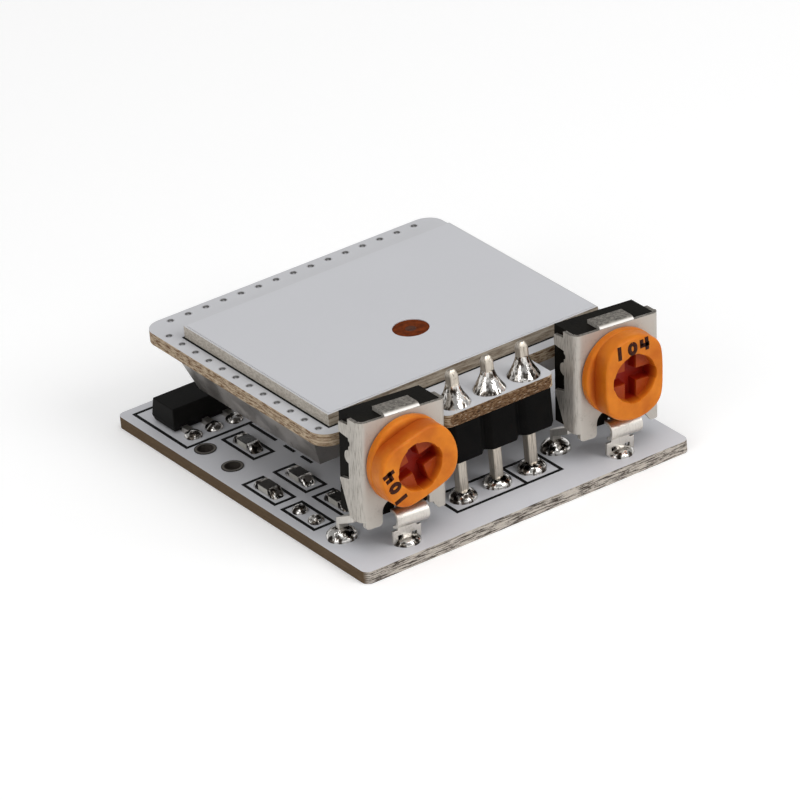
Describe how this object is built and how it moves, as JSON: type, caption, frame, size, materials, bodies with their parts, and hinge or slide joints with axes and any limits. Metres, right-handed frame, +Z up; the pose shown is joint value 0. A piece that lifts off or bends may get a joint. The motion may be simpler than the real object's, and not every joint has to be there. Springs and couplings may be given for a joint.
{
  "type": "microwave radar sensor module",
  "caption": "Radar motion sensor module: a patch antenna board stands on a pin header over a base board with orange screwdriver-set trimmers and small chips.",
  "frame": {"origin": "centre of the base board's underside", "axes": "+X to the right along the trimmer edge, +Y to the back, +Z up out of the base board"},
  "size_m": [0.0238, 0.0272, 0.0095],
  "materials": {
    "white_mask": "satin",
    "marking_ink": "matte",
    "tin_plate": "satin",
    "solder": "polished",
    "antenna_laminate": "matte",
    "antenna_coat": "satin",
    "feed_metal": "satin",
    "black_plastic": "matte",
    "orange_plastic": "satin",
    "white_ceramic": "satin",
    "tan_ceramic": "satin",
    "carbon_track": "matte",
    "contact_metal": "satin"
  },
  "bodies": {
    "module": {"base_board": "white_mask", "silkscreen": "marking_ink", "base_pads": "tin_plate", "rf_board": "white_mask", "rf_silkscreen": "marking_ink", "rf_vias": "tin_plate", "antenna_plate": "antenna_laminate", "antenna_patch": "antenna_coat", "feed_pin": "feed_metal", "shield_can": "tin_plate", "rf_chip": "black_plastic", "header_block": "black_plastic", "header_pins": "tin_plate", "header_solder_top": "solder", "header_solder_base": "solder", "regulator_body": "black_plastic", "regulator_leads": "tin_plate", "regulator_solder": "solder", "resistor_bodies": "white_ceramic", "resistor_coats": "black_plastic", "resistor_caps": "tin_plate", "chip_solder": "solder", "capacitor_bodies": "tan_ceramic", "capacitor_caps": "tin_plate", "controller_body": "black_plastic", "controller_leads": "tin_plate", "trimmer_solder": "solder", "left_trimmer_body": "black_plastic", "left_trimmer_cover": "tin_plate", "left_track": "carbon_track", "left_wiper_terminal": "tin_plate", "left_end_terminals": "tin_plate", "right_trimmer_body": "black_plastic", "right_trimmer_cover": "tin_plate", "right_track": "carbon_track", "right_wiper_terminal": "tin_plate", "right_end_terminals": "tin_plate"},
    "left_rotor": {"left_knob": "orange_plastic", "left_wiper": "contact_metal"},
    "right_rotor": {"right_knob": "orange_plastic", "right_wiper": "contact_metal"}
  },
  "joints": [
    {"name": "left_knob_turn", "type": "hinge", "parent": "module", "child": "left_rotor", "pos_m": [-0.00737, -0.01185, 0.00628], "axis": [0, -1, 0], "range_deg": [-230, 10]},
    {"name": "right_knob_turn", "type": "hinge", "parent": "module", "child": "right_rotor", "pos_m": [0.00823, -0.01185, 0.00628], "axis": [0, -1, 0], "range_deg": [-120, 120]}
  ]
}
